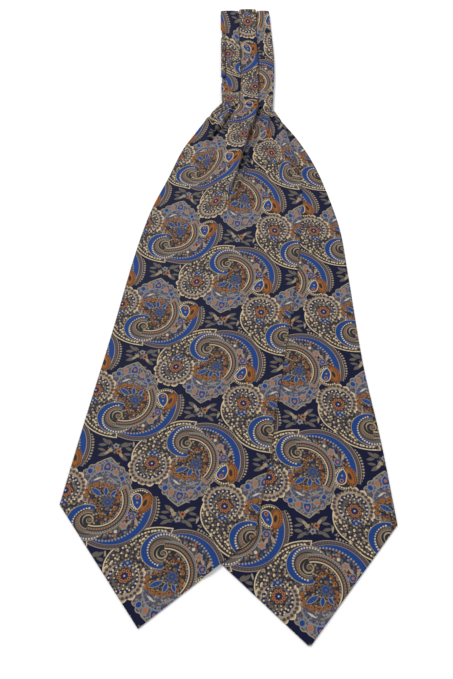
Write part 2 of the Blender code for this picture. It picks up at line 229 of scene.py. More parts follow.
# The chart. Each row is printed over the rows before it.
# Columns: stamp, x, y, half width, half height, turn in degrees, dye, then the stamp's own sizes:
# a scallop's lobes and their depth in mm, a sector's reach in degrees, half an arc's line in mm
# and its reach, the beads in a full round, their half size, how far each is squeezed along the
# round and the row's reach, a curl's tightness and line.
CHART = (
    # Leaves on the ground beside the medallion.
    ("leaf", -17.4, 14.6, 3.8, 1.2, 118, "sand"),
    ("leaf", -14.4, 17.6, 3.6, 1.1, 152, "foliage"),
    ("leaf", -19.0, 11.4, 3.2, 1.0, 172, "taupe"),
    # The wide right side: a fringe of points, a plum band, and the big blue crescent.
    ("beads", 35.0, 4.0, 32.6, 32.6, 14, "sand", 92, 0.9, 1.3, 64),
    ("disc", 35.0, 4.0, 31.2, 31.2, 0, "sand"),
    ("disc", 35.0, 4.0, 30.7, 30.7, 0, "plum"),
    ("beads", 35.0, 4.0, 29.5, 29.5, 30, "taupe", 90, 0.5, 1.0, 100),
    ("disc", 35.0, 4.0, 28.2, 28.2, 0, "sand"),
    ("disc", 35.0, 4.4, 27.6, 27.6, 0, "royal"),
    ("beads", 31.2, 3.2, 26.9, 26.9, 30, "sand", 76, 0.75, 1.2, 80),
    ("disc", 31.2, 3.2, 26.2, 26.2, 0, "field"),
    ("scallop", 46.4, 17.2, 3.0, 3.0, 10, "mist", 6, 0.7),
    ("disc", 46.4, 17.2, 1.4, 1.4, 0, "coral"),
    ("scallop", 50.2, 9.4, 3.0, 3.0, 30, "mist", 6, 0.8),
    ("scallop", 50.2, 9.4, 2.4, 2.4, 30, "royal", 6, 0.6),
    ("disc", 50.2, 9.4, 1.1, 1.1, 0, "coral"),
    ("leaf", 54.3, 12.8, 3.0, 1.1, 66, "sand"),
    ("leaf", 49.6, 14.0, 2.6, 1.0, 120, "sand"),
    ("scallop", 42.0, 22.0, 2.4, 2.4, 0, "steel", 5, 0.7),
    ("disc", 42.0, 22.0, 1.1, 1.1, 0, "cream"),
    # Ground again below the right side.
    ("disc", 58.0, -33.0, 26.0, 26.0, 0, "navy"),
    # Leaf sprigs on the ground, below the shell. The repeat ends in the middle of the sprig, so its
    # last leaves stand a second time at the chart's top.
    ("leaf", 19.4, -31.8, 4.2, 1.5, -30, "taupe"),
    ("leaf", 34.2, -31.6, 4.2, 1.5, 28, "taupe"),
    ("leaf", 17.2, -34.8, 3.2, 1.0, 6, "taupe"),
    ("leaf", 36.4, -34.6, 3.2, 1.0, -6, "taupe"),
    ("leaf", 22.0, -33.8, 3.0, 1.1, -48, "sand"),
    ("leaf", 31.6, -33.6, 3.0, 1.1, 46, "sand"),
    ("leaf", 16.8, -38.6, 3.2, 1.2, -10, "taupe"),
    ("leaf", 36.8, -38.8, 3.2, 1.2, 8, "taupe"),
    ("leaf", 18.8, -41.6, 4.0, 1.3, 32, "taupe"),
    ("leaf", 34.8, -41.8, 4.0, 1.3, -36, "taupe"),
    ("leaf", 22.0, -41.0, 3.2, 1.3, 50, "taupe"),
    ("leaf", 31.8, -41.2, 3.2, 1.3, -50, "taupe"),
    ("scallop", 26.7, -37.4, 5.8, 5.0, 0, "night", 9, 1.7),
    ("scallop", 26.7, -37.4, 5.3, 4.5, 0, "foliage", 9, 1.7),
    ("scallop", 26.8, -39.4, 2.4, 2.2, 0, "mist", 5, 0.6),
    ("disc", 26.8, -39.4, 0.8, 0.8, 0, "umber"),
    ("scallop", 29.6, -35.6, 2.2, 2.0, 0, "coral", 5, 0.6),
    ("disc", 29.6, -35.6, 0.9, 0.9, 0, "umber"),
    ("scallop", 23.4, -35.6, 1.8, 1.8, 0, "sand", 5, 0.6),
    ("leaf", 18.8, 39.4, 4.0, 1.3, 32, "taupe"),
    ("leaf", 34.8, 39.2, 4.0, 1.3, -36, "taupe"),
    # The small blue paisley and its rust partner.
    ("disc", 53.6, -3.0, 8.9, 8.6, 0, "sand"),
    ("disc", 53.6, -3.0, 8.4, 8.1, 0, "umber"),
    ("beads", 53.6, -3.0, 7.4, 7.1, 180, "cream", 28, 0.62, 1.0, 120),
    ("disc", 57.4, -1.4, 4.7, 7.6, 14, "rust"),
    ("beads", 57.4, -1.4, 4.0, 6.8, 14, "umber", 22, 0.4, 1.0, 180),
    ("disc", 57.2, -1.6, 3.1, 5.8, 14, "umber"),
    ("beads", 57.2, -1.6, 1.9, 4.2, 14, "rust", 11, 0.75, 1.0, 180),
    ("leaf", 51.6, -1.6, 6.2, 3.6, 74, "cream"),
    ("disc", 50.8, -3.6, 3.8, 3.9, 0, "cream"),
    ("leaf", 51.6, -1.6, 5.6, 3.0, 74, "royal"),
    ("disc", 50.8, -3.6, 3.2, 3.3, 0, "royal"),
    ("disc", 51.0, -4.6, 1.5, 1.5, 0, "coral"),
    ("disc", 51.0, -4.6, 0.7, 0.7, 0, "umber"),
    ("disc", 51.8, -0.8, 0.7, 0.7, 0, "sand"),
    # The neck of the teardrop, which sweeps up from the medallion to a point.
    ("leaf", 7.0, 21.9, 23.0, 10.2, 36, "cream"),
    ("disc", 1.6, 6.0, 17.4, 17.2, 0, "cream"),
    ("leaf", 7.0, 21.9, 22.0, 9.4, 36, "work"),
    ("disc", 1.6, 6.0, 16.6, 16.4, 0, "work"),
    ("arc", 19.1, 6.3, 28.0, 28.0, 131, "umber", 0.4, 47),
    ("beads", 19.1, 6.3, 26.8, 26.8, 131, "cream", 74, 0.6, 0.8, 47),
    ("arc", 19.1, 6.3, 25.6, 25.6, 131, "umber", 0.4, 47),
    ("beads", 19.1, 6.3, 23.2, 23.2, 128, "cream", 50, 0.8, 1.2, 50),
    ("beads", 19.1, 6.3, 19.2, 19.2, 134, "cream", 36, 0.8, 0.8, 50),
    ("beads", 19.1, 6.3, 21.2, 21.2, 130, "umber", 41, 0.8, 1.2, 50),
    ("leaf", 4.4, 17.0, 4.2, 1.7, 56, "royal"),
    # The shell under the blossom, with its eyelets.
    ("leaf", 25.0, -14.4, 16.0, 13.4, 91, "sand"),
    ("scallop", 26.4, -8.8, 19.6, 18.2, 7, "sand", 19, 1.4),
    ("leaf", 25.0, -14.3, 15.2, 12.7, 91, "lace"),
    ("scallop", 26.4, -8.8, 18.9, 17.5, 7, "lace", 19, 1.4),
    ("beads", 26.4, -8.8, 16.8, 15.4, 270, "mist", 21, 1.2, 0.9, 104),
    ("beads", 26.4, -8.8, 16.8, 15.4, 270, "steel", 21, 0.6, 1.0, 104),
    ("disc", 13.4, -17.2, 2.4, 2.6, -30, "mist"),
    ("disc", 13.4, -17.2, 1.7, 1.9, -30, "royal"),
    ("disc", 18.4, -20.4, 2.2, 2.6, -14, "mist"),
    ("disc", 18.4, -20.4, 1.5, 1.8, -14, "coral"),
    ("disc", 31.6, -19.4, 2.2, 2.6, 18, "mist"),
    ("disc", 31.6, -19.4, 1.5, 1.8, 18, "coral"),
    ("disc", 36.9, -15.6, 2.4, 2.6, 34, "mist"),
    ("disc", 36.9, -15.6, 1.7, 1.9, 34, "royal"),
    ("disc", 41.0, -9.8, 2.0, 2.3, 50, "mist"),
    ("disc", 41.0, -9.8, 1.3, 1.6, 50, "coral"),
    ("leaf", 24.8, -22.0, 5.2, 3.1, 91, "mist"),
    ("leaf", 24.8, -22.0, 4.4, 2.4, 91, "royal"),
    ("disc", 24.8, -22.8, 1.2, 1.3, 0, "coral"),
    ("arc", 26.4, -6.0, 13.6, 12.6, 262, "mist", 0.5, 84),
    ("beads", 26.4, -6.0, 12.3, 11.3, 262, "royal", 17, 0.9, 1.5, 80),
    ("leaf", 20.2, -12.6, 3.4, 0.7, -34, "chalk"),
    ("leaf", 32.4, -12.8, 3.6, 0.9, 30, "mist"),
    # The medallion's rim, whose top runs out in the neck's work.
    ("scallop", -0.8, -2.6, 15.2, 15.8, 90, "cream", 14, 1.9),
    ("scallop", -0.8, -2.6, 14.2, 14.8, 90, "sand", 14, 1.9),
    ("beads", -0.8, -2.6, 12.3, 12.9, 90, "plum", 28, 1.1, 0.9, 180),
    ("disc", 1.6, 13.0, 12.4, 10.4, 0, "work"),
    # The head of the curl: a blue crescent round a band that curls in.
    ("disc", 20.6, 19.5, 14.2, 12.9, 0, "sand"),
    ("disc", 20.6, 19.5, 13.7, 12.4, 0, "royal"),
    ("beads", 22.8, 19.8, 11.8, 10.7, 150, "cream", 38, 0.75, 1.2, 110),
    ("disc", 22.8, 19.8, 11.2, 10.1, 0, "taupe"),
    ("arc", 21.8, 18.7, 9.7, 8.6, 150, "umber", 0.4, 100),
    ("beads", 21.8, 18.1, 7.9, 7.2, 150, "coral", 28, 0.62, 1.6, 100),
    ("disc", 21.8, 18.1, 6.7, 6.0, 0, "sand"),
    ("disc", 21.8, 18.1, 6.2, 5.5, 0, "umber"),
    # The belly, whose right side is that band's other end.
    ("sector", 24.6, 3.6, 23.0, 23.0, 30, "sand", 68),
    ("sector", 24.6, 3.6, 22.5, 22.5, 30, "taupe", 68),
    ("beads", 24.6, 3.6, 21.8, 21.8, 30, "mist", 80, 0.55, 1.0, 67),
    ("arc", 24.6, 3.6, 20.9, 20.9, 30, "umber", 0.4, 67),
    ("beads", 24.6, 3.6, 19.7, 19.7, 30, "coral", 68, 0.66, 1.5, 67),
    ("arc", 24.6, 3.6, 18.5, 18.5, 30, "umber", 0.35, 67),
    ("arc", 24.6, 3.6, 17.6, 17.6, 30, "cream", 0.35, 67),
    ("sector", 24.6, 3.6, 17.1, 17.1, 30, "dusk", 68),
    ("beads", 24.6, 3.6, 16.2, 16.2, 18, "mist", 60, 0.5, 1.0, 50),
    ("curl", 22.0, 17.6, 4.6, 4.4, 0, "sand", 0.9, 0.15),
    # The blossom in the belly.
    ("scallop", 32.2, 6.6, 7.0, 8.2, 16, "rusty", 9, 1.5),
    ("scallop", 26.6, -1.8, 13.6, 8.6, 4, "rusty", 13, 1.9),
    ("beads", 32.2, 6.6, 5.9, 7.0, 16, "umber", 22, 0.42, 1.0, 180),
    ("beads", 26.6, -1.8, 11.4, 6.9, 4, "umber", 38, 0.42, 1.0, 180),
    ("scallop", 32.0, 6.4, 5.4, 6.5, 0, "bloom", 8, 1.0),
    ("scallop", 26.8, -1.4, 11.2, 6.4, 0, "bloom", 11, 1.3),
    ("leaf", 21.8, -3.0, 5.2, 2.1, 28, "mist"),
    ("leaf", 21.8, -3.0, 4.6, 1.5, 28, "royal"),
    ("beads", 21.8, -3.0, 2.0, 0.6, 28, "mist", 4, 0.35, 1.0, 180),
    ("leaf", 28.4, -4.6, 3.9, 1.8, 78, "mist"),
    ("leaf", 28.4, -4.6, 3.2, 1.2, 78, "royal"),
    ("leaf", 33.8, -4.2, 3.4, 1.6, 120, "mist"),
    ("leaf", 33.8, -4.2, 2.8, 1.0, 120, "royal"),
    ("scallop", 31.4, 2.8, 4.6, 4.6, 0, "steel", 7, 0.9),
    ("disc", 31.4, 2.8, 2.2, 2.2, 0, "royal"),
    ("beads", 31.4, 2.8, 3.4, 3.4, 0, "night", 8, 0.45, 1.0, 180),
    ("disc", 31.4, 2.8, 1.0, 1.0, 0, "steel"),
    # The medallion's inner rings and its eye.
    ("scallop", -0.7, -2.2, 11.0, 11.6, 90, "sand", 14, 1.2),
    ("scallop", -0.7, -2.2, 10.4, 11.0, 90, "ring", 14, 1.2),
    ("beads", -0.6, -1.8, 8.9, 9.4, 84, "indigo", 20, 1.0, 1.0, 180),
    ("beads", -0.6, -1.8, 8.9, 9.4, 93, "cream", 20, 0.6, 1.0, 180),
    ("beads", -0.3, -0.8, 6.9, 7.4, 90, "taupe", 18, 0.9, 1.0, 180),
    ("leaf", 0.0, 8.6, 3.4, 1.7, 0, "royal"),
    ("disc", 0.0, 8.8, 0.8, 0.8, 0, "sand"),
    ("disc", 0.0, 0.0, 5.0, 5.0, 0, "umber"),
    ("beads", 0.0, 0.0, 3.5, 3.5, 22, "coral", 8, 1.25, 1.0, 180),
    ("beads", 0.0, 0.0, 3.6, 3.6, 22, "umber", 8, 0.5, 1.0, 180),
    ("disc", 0.0, 0.0, 2.4, 2.4, 0, "umber"),
    ("disc", 0.0, 0.0, 1.9, 1.9, 0, "indigo"),
    ("disc", 0.0, 0.0, 0.6, 0.6, 0, "chalk"),
)


# Degrees that each row of beads is lengthened by, so that a full round closes.
BEADS_CLOSE = 0.1


def stamp_sizes(row):
    """A chart row's sizes as its stamp takes them."""
    form, half_width, half_height, own = row[0], row[3], row[4], row[7:]
    if form == "scallop":
        return half_width - own[1], own[0] / 2, own[1]
    if form == "leaf":
        return half_height, half_height / half_width**2
    if form == "sector":
        return half_width, math.radians(own[0])
    if form == "arc":
        return half_width, own[0], math.radians(own[1])
    if form == "beads":
        pitch = math.tau * half_width / own[0] * own[2]
        return half_width, own[0] / math.tau, pitch, own[1], math.radians(own[3] + BEADS_CLOSE)
    return half_width, *own


def stamp_axes(row):
    """The directions that a chart row's stamp measures x and y along."""
    form, half_width, half_height, turn = row[0], row[3], row[4], math.radians(row[5])
    squash = 1.0 if form == "leaf" else half_width / half_height
    right = (math.cos(turn), math.sin(turn), 0)
    return right, (-squash * math.sin(turn), squash * math.cos(turn), 0)


def wrap(tree, value, width):
    """value folded into one repeat, from minus half a width to half a width."""
    share = add(tree, "Math", value, 1 / width, 0.5, operation="MULTIPLY_ADD")[0]
    part = add(tree, "Math", share, operation="FRACT")[0]
    return add(tree, "Math", part, width, -0.5 * width, operation="MULTIPLY_ADD")[0]


def nearest_paisley(tree, x, y, shift, flip, slant):
    """The place measured from the nearest paisley of one row, and how far outside it that is."""
    across = add(tree, "Math", x, -shift[0] - CHART_MIDDLE[0], operation="ADD")[0]
    up = add(tree, "Math", y, -shift[1], operation="ADD")[0]
    up = add(tree, "Math", up, flip, -CHART_MIDDLE[1], operation="MULTIPLY_ADD")[0]
    across = add(tree, "Math", wrap(tree, across, REPEAT[0]), CHART_MIDDLE[0], operation="ADD")[0]
    up = add(tree, "Math", wrap(tree, up, REPEAT[1]), CHART_MIDDLE[1], operation="ADD")[0]
    up = add(tree, "Math", across, slant, up, operation="MULTIPLY_ADD")[0]
    place = add(tree, "CombineXYZ", across, up)[0]
    outside = None
    for cx, cy, radius in PAISLEY_REACH:
        far = add(tree, "VectorMath", place, (cx, cy, 0), operation="DISTANCE")[1]
        gap = add(tree, "Math", far, -radius, operation="ADD")[0]
        if outside is None:
            outside = gap
        else:
            outside = add(tree, "Math", outside, gap, operation="MINIMUM")[0]
    return place, outside


# Filling work. Inside the outlines the real print is drawn too fine to chart, so dots of one to
# two mm stand for it. Columns: mm from dot to dot, the dye between them, the dots' dyes.
# The ink is more than full at a dot's middle, and fades by so much from dot to dot.
DOT_INK = 2.6
DOT_FADE = 5.0
FILLINGS = {
    "work": (1.7, "umber", "sand", "sand", "plum", "taupe", "cream", "steel"),
    "ring": (1.5, "umber", "steel", "sand", "plum", "cream", "taupe", "steel"),
    "lace": (1.6, "steel", "mist", "taupe", "mist", "sand", "plum", "steel"),
    "field": (1.9, "umber", "steel", "taupe", "coral", "mist", "royal", "plum"),
    "dusk": (1.8, "umber", "taupe", "umber", "sand", "plum", "umber", "ochre"),
    "rusty": (1.4, "rust", "umber", "rust", "ochre", "umber", "rust", "taupe", "rust"),
    "bloom": (1.6, "umber", "taupe", "royal", "steel", "ochre", "umber", "sand"),
    "foliage": (1.4, "night", "taupe", "sand", "taupe", "sand", "steel", "taupe"),
}


def filling(tree, place, cell, between, *dots):
    """Small dots of several dyes, drawn from the print's own place."""
    cells = tree.nodes.new("ShaderNodeTexVoronoi")
    cells.voronoi_dimensions = "2D"
    cells.inputs["Scale"].default_value = 1 / cell
    tree.links.new(place, cells.inputs["Vector"])
    pick = add(tree, "VectorMath", cells.outputs[1], (1, 0, 0), operation="DOT_PRODUCT")[1]
    ramp = tree.nodes.new("ShaderNodeValToRGB")
    ramp.color_ramp.interpolation = "CONSTANT"
    ramp.color_ramp.elements.remove(ramp.color_ramp.elements[1])
    ramp.color_ramp.elements[0].color = linear(DYES[dots[0]])
    for i, dye in enumerate(dots[1:], start=1):
        ramp.color_ramp.elements.new(i / len(dots)).color = linear(DYES[dye])
    tree.links.new(pick, ramp.inputs[0])
    dot = add(
        tree, "Math", cells.outputs[0], -DOT_FADE, DOT_INK, operation="MULTIPLY_ADD", use_clamp=True
    )[0]
    return add(tree, "MixRGB", dot, linear(DYES[between]), ramp.outputs[0])[0]


def print_colour(tree, x, y):
    """The printed colour at a place of the flat cloth, given in mm."""
    upright, from_upright = nearest_paisley(tree, x, y, (0.0, 0.0), 1.0, 0.0)
    mirrored, from_mirrored = nearest_paisley(tree, x, y, MIRROR_ROW, -1.0, MIRROR_SLANT)
    nearer = add(tree, "Math", from_mirrored, from_upright, operation="LESS_THAN")[0]
    place = add(tree, "MixRGB", nearer, upright, mirrored)[0]
    dyes = {name: linear(code) for name, code in DYES.items()}
    for name, values in FILLINGS.items():
        dyes[name] = filling(tree, place, *values)
    colour = dyes["navy"]
    for row in CHART:
        right, up = stamp_axes(row)
        inside = add(
            tree, "Group", place, (row[1], row[2], 0), right, up, *stamp_sizes(row),
            node_tree=STAMPS[row[0]],
        )[0]
        colour = add(tree, "MixRGB", inside, colour, dyes[row[6]])[0]
    return colour


# Slubs for each mm, and how dark and how light they make the dye. The wales fall 0.8 mm for each
# mm across. A printing twill has about 40 of them to the cm, and they are drawn at 1.1 mm so as to
# show.
SLUBS = 1.3
SLUB_SHADES = (0.82, 1.16)
WALE_SLANT = 0.8
TWILL_PITCH = 1.1
SLUB_RELIEF = 1.6
WALE_DEPTH = 0.0001


def woven_silk():
    """Silk twill, woven and then printed: matt dye, a soft low sheen, and fine slanting wales."""
    material = bpy.data.materials.new("printed_silk_twill")
    material.use_nodes = True
    tree = material.node_tree
    tree.nodes.clear()
    flat = add(tree, "UVMap", uv_map="flat cloth")[0]
    cloth = add(tree, "VectorMath", flat, (1000, 1000, 0), operation="MULTIPLY")[0]
    x, y, _ = add(tree, "SeparateXYZ", cloth)
    dyed = print_colour(tree, x, y)

    # Threads take the dye a little unevenly.
    slub = add(tree, "TexNoise", cloth, None, SLUBS, 2.0, 0.6)[0]
    uneven = add(tree, "MapRange", slub, 0.3, 0.7, *SLUB_SHADES)[0]
    colour = add(tree, "VectorMath", dyed, None, None, uneven, operation="SCALE")[0]

    # The wales of the twill, with the slubs, as a fine relief.
    slant = add(tree, "Math", x, WALE_SLANT, y, operation="MULTIPLY_ADD")[0]
    wale = add(tree, "Math", slant, math.tau / TWILL_PITCH, operation="MULTIPLY")[0]
    ridge = add(tree, "Math", wale, operation="SINE")[0]
    height = add(tree, "Math", slub, SLUB_RELIEF, ridge, operation="MULTIPLY_ADD")[0]
    bump = tree.nodes.new("ShaderNodeBump")
    bump.inputs["Strength"].default_value = 0.25
    bump.inputs["Distance"].default_value = WALE_DEPTH
    tree.links.new(height, bump.inputs["Height"])
    surface = tree.nodes.new("ShaderNodeBsdfPrincipled")
    tree.links.new(colour, surface.inputs["Base Color"])
    tree.links.new(bump.outputs[0], surface.inputs["Normal"])
    sheen = (("Sheen Weight", 0.03), ("Sheen Roughness", 0.4))
    for name, value in (("Roughness", 0.5), ("Specular IOR Level", 0.07), *sheen):
        surface.inputs[name].default_value = value
    add(tree, "OutputMaterial", surface.outputs[0])
    return material


printed_silk = woven_silk()


# The under blade. Half of the cravat is one double wall of silk: a face and a back sewn together
# round their edge, turned right side out and pressed flat. It lies straight on the surface, and
# the upper blade covers its left side.
MM = 0.001

# The tip, the degrees that the blade leans to the right and its length in mm. Towards the neck
# the wall thickens.
UNDER_TIP = (52.4, -310.2)
UNDER_LEAN = -4.0
UNDER_NECK = 476.0
UNDER_NECK_FROM = 395.0
UNDER_NECK_HEIGHT = 2.8
BLADE_WALL = 1.5

# Columns: mm from the tip along the middle line, reach to the left, reach to the right.
UNDER_OUTLINE = (
    (74.0, 69.8, 69.8),
    (136.5, 69.0, 69.0),
    (199.0, 66.2, 66.2),
    (289.0, 67.2, 67.2),
    (329.0, 66.8, 67.2),
    (368.5, 61.0, 62.1),
    (403.5, 52.0, 54.8),
    (434.5, 41.5, 43.8),
    (462.0, 28.5, 29.9),
    (476.0, 22.0, 24.2),
)

# Rows and columns of points. The rows stand closer towards the neck.
UNDER_GRID = (120, 72)
UNDER_ROWS_CLOSER = 1.2

# A pressed edge of silk. Columns: inset from the outline, share of the height there.
FOLDED_EDGE = (
    (1.3, 1.0),
    (0.75, 0.97),
    (0.35, 0.88),
    (0.1, 0.73),
    (0.0, 0.5),
    (0.1, 0.27),
    (0.35, 0.1),
    (0.8, 0.0),
)


def ease(value):
    """0 to 1, with soft ends."""
    t = np.clip(value, 0.0, 1.0)
    return t * t * (3.0 - 2.0 * t)


def read_table(table, where, column):
    """A column of a table at places along its first column, on a smooth curve."""
    rows = np.array(sorted(table))
    knots, values = rows[:, 0], rows[:, column]
    slopes = np.gradient(values, knots)
    slopes[1:-1] = (values[2:] - values[:-2]) / (knots[2:] - knots[:-2])
    place = np.clip(where, knots[0], knots[-1])
    n = np.clip(np.searchsorted(knots, place, side="right") - 1, 0, len(knots) - 2)
    span = knots[n + 1] - knots[n]
    t = (place - knots[n]) / span
    start = (2 * t**3 - 3 * t**2 + 1) * values[n] + (t**3 - 2 * t**2 + t) * slopes[n] * span
    end = (3 * t**2 - 2 * t**3) * values[n + 1] + (t**3 - t**2) * slopes[n + 1] * span
    return start + end


def to_table(tip, lean, right, along):
    """A point of a blade, given along and to the right of its middle line, as x and y."""
    a = math.radians(lean)
    x = tip[0] + right * math.cos(a) + along * math.sin(a)
    y = tip[1] - right * math.sin(a) + along * math.cos(a)
    return x, y


def to_blade(tip, lean, x, y):
    """The opposite of to_table."""
    a = math.radians(lean)
    dx, dy = x - tip[0], y - tip[1]
    return dx * math.cos(a) - dy * math.sin(a), dx * math.sin(a) + dy * math.cos(a)


# What an inset of 1 mm moves a blade's point, which is nearly a right angle, and its side corners.
POINT_INSET = 1.41
CORNER_INSET = 0.41


def blade_point(tip, lean, neck, outline, u, v, inset):
    """A blade's grid: u from -1 (left) to 1 (right), v from 0 (neck) to 1 (point)."""
    corner = outline[0][0]
    edge = (neck - inset) * (1 - v) + (corner + CORNER_INSET * inset) * v
    middle = (neck - inset) * (1 - v) + POINT_INSET * inset * v
    along = edge + (middle - edge) * (1 - np.abs(u))
    reach = np.where(u < 0, read_table(outline, edge, 1), read_table(outline, edge, 2)) - inset
    return to_table(tip, lean, u * reach, along)


def silk_shell(name, place, top, bottom, rows, columns, edge, printed):
    """A closed piece of silk over a grid, with a rolled edge, and the print laid out on it.

    place(u, v, inset) gives x and y in mm, and printed(x, y) the place on the flat cloth.
    """
    u, v = np.meshgrid(columns, rows)
    count_v, count_u = u.shape
    order = np.arange(count_v * count_u).reshape(count_v, count_u)
    border = np.concatenate(
        (order[0, :-1], order[:-1, -1], order[-1, :0:-1], order[:0:-1, 0])
    )
    u, v = u.ravel(), v.ravel()

    points = []
    for ring, (inset, share) in enumerate(edge):
        whole = ring in (0, len(edge) - 1)
        at_u, at_v = (u, v) if whole else (u[border], v[border])
        x, y = place(at_u, at_v, inset)
        low, high = bottom(x, y), top(x, y)
        points.append(np.stack((x, y, low + (high - low) * share), axis=1))

    starts = np.cumsum([0] + [len(p) for p in points])
    a, b = order[:-1, :-1].ravel(), order[:-1, 1:].ravel()
    c, d = order[1:, 1:].ravel(), order[1:, :-1].ravel()
    faces = [np.stack((d, c, b, a), axis=1), np.stack((a, b, c, d), axis=1) + starts[-2]]
    loops = [border]
    loops += [np.arange(len(border)) + starts[i] for i in range(1, len(edge) - 1)]
    loops += [border + starts[-2]]
    for upper, lower in zip(loops, loops[1:]):
        faces.append(np.stack((upper, np.roll(upper, -1), np.roll(lower, -1), lower), axis=1))
    points = np.concatenate(points)
    faces = np.concatenate(faces)

    data = bpy.data.meshes.new(name)
    data.from_pydata((points * MM).tolist(), [], faces.tolist())
    across, along = printed(points[:, 0], points[:, 1])
    flat = np.stack((across, along), axis=1)[faces.ravel()] * MM
    data.uv_layers.new(name="flat cloth").data.foreach_set("uv", flat.ravel())
    data.shade_smooth()
    data.materials.append(printed_silk)
    piece = bpy.data.objects.new(name, data)
    bpy.context.scene.collection.objects.link(piece)
    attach(piece, "root")
    return piece


def under_top(x, y):
    """The under blade's upper face: one double wall, thicker where it is pleated into its neck."""
    along = to_blade(UNDER_TIP, UNDER_LEAN, x, y)[1]
    rise = UNDER_NECK_HEIGHT - BLADE_WALL
    return BLADE_WALL + rise * ease((along - UNDER_NECK_FROM) / (UNDER_NECK - UNDER_NECK_FROM))


def under_place(u, v, inset):
    return blade_point(UNDER_TIP, UNDER_LEAN, UNDER_NECK, UNDER_OUTLINE, u, v, inset)


# How the print lies on the blade. Columns: mm from the tip, mm that the print stands to the right.
# Its rows slope a little and are a trace further apart than on the flat cloth. The last two
# numbers are the tip's place there.
UNDER_DRIFT = (
    (30.0, -0.7),
    (115.0, 1.0),
    (249.0, 1.0),
    (329.0, 3.4),
    (368.0, -1.2),
    (403.0, -8.6),
    (434.0, -19.6),
    (476.0, -39.5),
)
UNDER_SKEW = 0.03
UNDER_EASED = 0.993
PRINT_RIGHT = 16.0
UNDER_PRINT_UP = -31.6


def under_printed(x, y):
    """The under blade's place on the flat cloth."""
    right, along = to_blade(UNDER_TIP, UNDER_LEAN, x, y)
    across = right - read_table(UNDER_DRIFT, along, 1)
    return across + PRINT_RIGHT, UNDER_EASED * (along + UNDER_SKEW * right) + UNDER_PRINT_UP


def surface_height(x, y):
    return np.zeros_like(x)


blade_under = silk_shell(
    "blade_under_silk", under_place, under_top, surface_height,
    np.linspace(0, 1, UNDER_GRID[0]) ** UNDER_ROWS_CLOSER, np.linspace(-1, 1, UNDER_GRID[1]),
    FOLDED_EDGE, under_printed,
)
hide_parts("blade_under")


# The under half of the neckband. The pleats of the under blade run on into it, folded over each
# other in three layers, which show as fine lines along its sides. The upper half lies on it.
# Columns: y, then the x of the band's left edge, of the pleats' two seams and of its right edge.
BAND = (
    (310.2, -6.8, 12.3, 30.4, 43.4),
    (274.6, -6.4, 12.4, 29.6, 44.8),
    (247.6, -6.1, 13.1, 30.2, 46.1),
    (218.0, -6.0, 13.6, 30.9, 46.1),
    (195.2, -5.8, 12.9, 30.5, 44.9),
    (159.6, -4.6, 10.9, 29.0, 42.5),
)
FOLD_Y = 310.2
NOSE_WALL = 5.2
GAP = 0.3
BAND_SHORTER = 0.7
BAND_NARROWER = 1.0
UNDER_BAND_GRID = (60, 24)

# The sides of three folded layers. Columns: inset from the outline, share of the height there.
LAYERED_EDGE = (
    (0.9, 1.0),
    (0.3, 0.95),
    (0.0, 0.84),
    (0.1, 0.72),
    (0.55, 0.64),
    (0.1, 0.56),
    (0.0, 0.44),
    (0.15, 0.33),
    (0.55, 0.27),
    (0.1, 0.19),
    (0.1, 0.08),
    (0.5, 0.0),
)


def neck_line(tip, lean, outline):
    """The y of the line where a half of the band meets its blade, as a function of x."""
    along, left, right = outline[-1]
    start = to_table(tip, lean, -left, along)
    end = to_table(tip, lean, right, along)
    return lambda x: start[1] + (end[1] - start[1]) * (x - start[0]) / (end[0] - start[0]) + GAP


under_start = neck_line(UNDER_TIP, UNDER_LEAN, UNDER_OUTLINE)


def under_band_place(u, v, inset):
    end = FOLD_Y - NOSE_WALL - BAND_SHORTER
    y = under_start(0.0) + (end - under_start(0.0)) * (1 - v)
    left = read_table(BAND, y, 1) + BAND_NARROWER
    right = read_table(BAND, y, 4) - BAND_NARROWER
    x = left + inset + (right - left - 2 * inset) * (u + 1) / 2
    return x, under_start(x) + inset + (end - under_start(x) - 2 * inset) * (1 - v)


def under_neck_top(x, y):
    return np.full_like(x, UNDER_NECK_HEIGHT)


band_under = silk_shell(
    "band_under_silk", under_band_place, under_neck_top, surface_height,
    np.linspace(0, 1, UNDER_BAND_GRID[0]), np.linspace(-1, 1, UNDER_BAND_GRID[1]),
    LAYERED_EDGE, under_printed,
)
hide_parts("band_under")


# The upper blade. The other half of the cravat is the same double wall. It lies across the under
# blade, whose edge shows through it as a soft step, and its pleats open out of the neck in long
# creases: the middle one drops steeply on its right and throws the darkest shadow.
UPPER_TIP = (-57.6, -299.1)
UPPER_LEAN = 9.5
UPPER_NECK = 473.0
UPPER_OUTLINE = (
    (71.0, 72.0, 66.0),
    (136.0, 71.0, 67.6),
    (211.5, 69.2, 67.8),
    (289.0, 68.4, 68.0),
    (337.5, 65.2, 65.8),
    (375.0, 58.2, 62.4),
    (411.5, 51.8, 53.9),
    (436.5, 43.1, 43.5),
    (459.5, 33.3, 32.7),
    (473.0, 26.2, 22.7),
)

# What the pleated layers add, the thinnest wall left in a hollow, how far past the under blade's
# edge this one stays level, and the width of its slope down to the surface.
NECK_LAYERS = 1.0
NECK_LAYERS_FROM = 370.0
THINNEST_WALL = 0.5
BRIDGE_FLAT = 7.0
BRIDGE_SLOPE = 11.0

